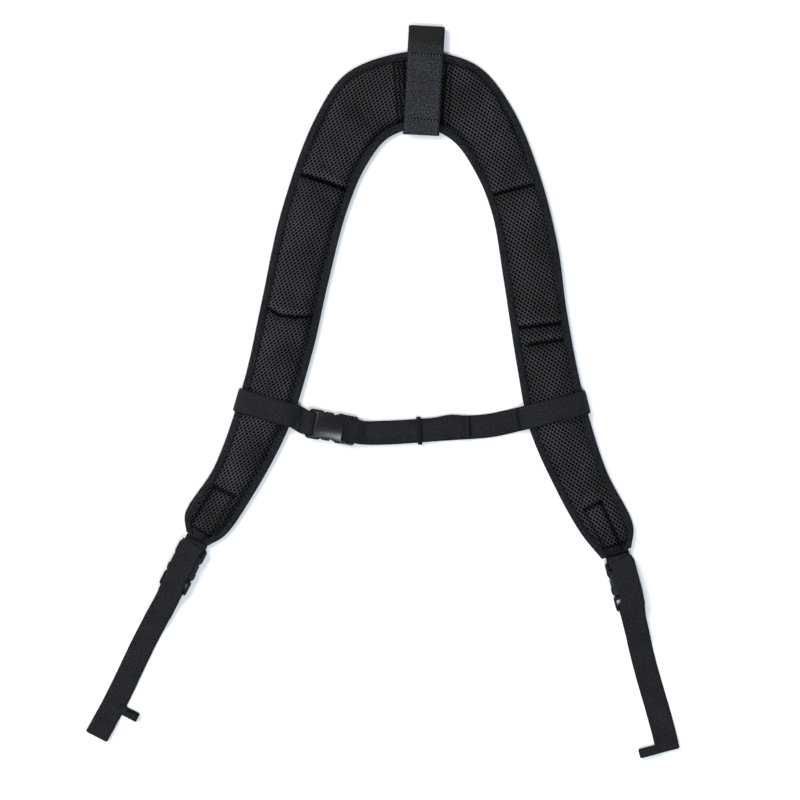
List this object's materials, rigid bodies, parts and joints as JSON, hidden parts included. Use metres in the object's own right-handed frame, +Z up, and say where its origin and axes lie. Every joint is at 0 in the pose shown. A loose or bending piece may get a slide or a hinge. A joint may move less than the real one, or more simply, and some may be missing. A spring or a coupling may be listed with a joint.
{
  "type": "breathing apparatus shoulder harness",
  "caption": "Padded shoulder yoke with mesh lining, bound edges, a neck hang loop, a chest strap with a side release buckle, and a buckled strap at the end of each arm.",
  "frame": {"origin": "centre of the footprint, on the surface that the harness lies on", "axes": "+Z up from that surface, towards the mesh lining; +Y along the harness towards the neck loop; +X across it"},
  "size_m": [0.6244, 0.7712, 0.0161],
  "materials": {
    "back_fabric": "plain woven nylon",
    "foam": "closed cell foam",
    "air_mesh": "open spacer mesh",
    "binding": "folded grosgrain tape",
    "webbing": "woven polyester webbing",
    "tab_webbing": "heavy twill webbing",
    "elastic": "knitted elastic",
    "buckle_plastic": "moulded acetal, slightly glossy"
  },
  "bodies": {
    "yoke": {"neck_back_fabric": "back_fabric", "neck_foam": "foam", "neck_mesh_cover": "air_mesh", "neck_outer_binding": "binding", "neck_inner_binding": "binding", "neck_web": "tab_webbing", "neck_web_back": "tab_webbing"},
    "hang_loop": {"hang_loop": "tab_webbing"},
    "left_shoulder": {"left_shoulder_back_fabric": "back_fabric", "left_shoulder_foam": "foam", "left_shoulder_mesh_cover": "air_mesh", "left_shoulder_outer_binding": "binding", "left_shoulder_inner_binding": "binding"},
    "right_shoulder": {"right_shoulder_back_fabric": "back_fabric", "right_shoulder_foam": "foam", "right_shoulder_mesh_cover": "air_mesh", "right_shoulder_outer_binding": "binding", "right_shoulder_inner_binding": "binding"},
    "left_chest": {"left_chest_back_fabric": "back_fabric", "left_chest_foam": "foam", "left_chest_mesh_cover": "air_mesh", "left_chest_outer_binding": "binding", "left_chest_inner_binding": "binding", "left_anchor_web": "webbing"},
    "right_chest": {"right_chest_back_fabric": "back_fabric", "right_chest_foam": "foam", "right_chest_mesh_cover": "air_mesh", "right_chest_outer_binding": "binding", "right_chest_inner_binding": "binding", "right_anchor_web": "webbing"},
    "sternum": {"left_sleeve": "webbing", "right_sleeve": "webbing", "sternum_anchor_web": "webbing", "sternum_buckle_socket": "buckle_plastic"},
    "sternum_plug": {"sternum_buckle_plug": "buckle_plastic", "sternum_strap": "webbing"},
    "sternum_upper_prong": {"sternum_upper_prong": "buckle_plastic"},
    "sternum_lower_prong": {"sternum_lower_prong": "buckle_plastic"},
    "keeper": {"strap_keeper": "elastic"},
    "left_socket": {"left_buckle_socket": "buckle_plastic"},
    "left_plug": {"left_buckle_plug": "buckle_plastic", "left_plug_web": "webbing", "left_strap": "webbing", "left_pull_loop": "webbing"},
    "left_inner_prong": {"left_inner_prong": "buckle_plastic"},
    "left_outer_prong": {"left_outer_prong": "buckle_plastic"},
    "right_socket": {"right_buckle_socket": "buckle_plastic"},
    "right_plug": {"right_buckle_plug": "buckle_plastic", "right_plug_web": "webbing", "right_strap": "webbing", "right_pull_loop": "webbing"},
    "right_inner_prong": {"right_inner_prong": "buckle_plastic"},
    "right_outer_prong": {"right_outer_prong": "buckle_plastic"}
  },
  "joints": [
    {"name": "left_shoulder_fold", "type": "hinge", "parent": "yoke", "child": "left_shoulder", "pos_m": [-0.06053, 0.21796, 0.0035], "axis": [-1, 0, 0], "range_deg": [0, 70]},
    {"name": "right_shoulder_fold", "type": "hinge", "parent": "yoke", "child": "right_shoulder", "pos_m": [0.13647, 0.21796, 0.0035], "axis": [-1, 0, 0], "range_deg": [0, 70]},
    {"name": "left_chest_fold", "type": "hinge", "parent": "left_shoulder", "child": "left_chest", "pos_m": [-0.09653, 0.07396, 0.0035], "axis": [-1, 0, 0], "range_deg": [0, 70]},
    {"name": "right_chest_fold", "type": "hinge", "parent": "right_shoulder", "child": "right_chest", "pos_m": [0.16547, 0.07396, 0.0035], "axis": [-1, 0, 0], "range_deg": [0, 70]},
    {"name": "hang_loop_flip", "type": "hinge", "parent": "yoke", "child": "hang_loop", "pos_m": [0.04524, 0.35833, 0.0096], "axis": [0.9985, -0.054, 0], "range_deg": [0, 90]},
    {"name": "sternum_height", "type": "slide", "parent": "left_chest", "child": "sternum", "axis": [0, 1, 0], "range_m": [-0.0025, 0.008]},
    {"name": "sternum_release", "type": "slide", "parent": "sternum", "child": "sternum_plug", "axis": [0.9838, -0.179, 0], "range_m": [0, 0.035], "deforming": ["sternum_upper_prong", "sternum_lower_prong", "sternum_strap"]},
    {"name": "sternum_upper_prong_press", "type": "hinge", "parent": "sternum_plug", "child": "sternum_upper_prong", "pos_m": [-0.04234, -0.03057, 0.0048], "axis": [0, 0, 1], "range_deg": [0, 8], "stiffness_Nm_per_rad": 0.3},
    {"name": "sternum_lower_prong_press", "type": "hinge", "parent": "sternum_plug", "child": "sternum_lower_prong", "pos_m": [-0.04542, -0.04749, 0.0048], "axis": [0, 0, 1], "range_deg": [-8, 0], "stiffness_Nm_per_rad": 0.3},
    {"name": "keeper_slide", "type": "slide", "parent": "sternum_plug", "child": "keeper", "axis": [0.9976, 0.0698, 0], "range_m": [-0.022, 0.022]},
    {"name": "left_strap_swing", "type": "hinge", "parent": "left_chest", "child": "left_socket", "pos_m": [-0.19853, -0.16304, 0.00475], "axis": [-0.8901, 0.4557, 0], "range_deg": [0, 75]},
    {"name": "left_release", "type": "slide", "parent": "left_socket", "child": "left_plug", "axis": [-0.4557, -0.8901, 0], "range_m": [0, 0.035], "deforming": ["left_inner_prong", "left_outer_prong"]},
    {"name": "left_inner_prong_press", "type": "hinge", "parent": "left_plug", "child": "left_inner_prong", "pos_m": [-0.20637, -0.19723, 0.0048], "axis": [0, 0, 1], "range_deg": [0, 8], "stiffness_Nm_per_rad": 0.3},
    {"name": "left_outer_prong_press", "type": "hinge", "parent": "left_plug", "child": "left_outer_prong", "pos_m": [-0.22168, -0.18939, 0.0048], "axis": [0, 0, 1], "range_deg": [-8, 0], "stiffness_Nm_per_rad": 0.3},
    {"name": "right_strap_swing", "type": "hinge", "parent": "right_chest", "child": "right_socket", "pos_m": [0.24877, -0.17885, 0.00475], "axis": [-0.9685, -0.2491, 0], "range_deg": [0, 75]},
    {"name": "right_release", "type": "slide", "parent": "right_socket", "child": "right_plug", "axis": [0.2491, -0.9685, 0], "range_m": [0, 0.035], "deforming": ["right_inner_prong", "right_outer_prong"]},
    {"name": "right_outer_prong_press", "type": "hinge", "parent": "right_plug", "child": "right_outer_prong", "pos_m": [0.26557, -0.20963, 0.0048], "axis": [0, 0, 1], "range_deg": [0, 8], "stiffness_Nm_per_rad": 0.3},
    {"name": "right_inner_prong_press", "type": "hinge", "parent": "right_plug", "child": "right_inner_prong", "pos_m": [0.24891, -0.21392, 0.0048], "axis": [0, 0, 1], "range_deg": [-8, 0], "stiffness_Nm_per_rad": 0.3}
  ],
  "couplings": [
    {"joint": "right_shoulder_fold", "follows": "left_shoulder_fold", "ratio": 1},
    {"joint": "right_chest_fold", "follows": "left_chest_fold", "ratio": 1},
    {"joint": "sternum_lower_prong_press", "follows": "sternum_upper_prong_press", "ratio": -1},
    {"joint": "left_outer_prong_press", "follows": "left_inner_prong_press", "ratio": -1},
    {"joint": "right_inner_prong_press", "follows": "right_outer_prong_press", "ratio": -1}
  ]
}
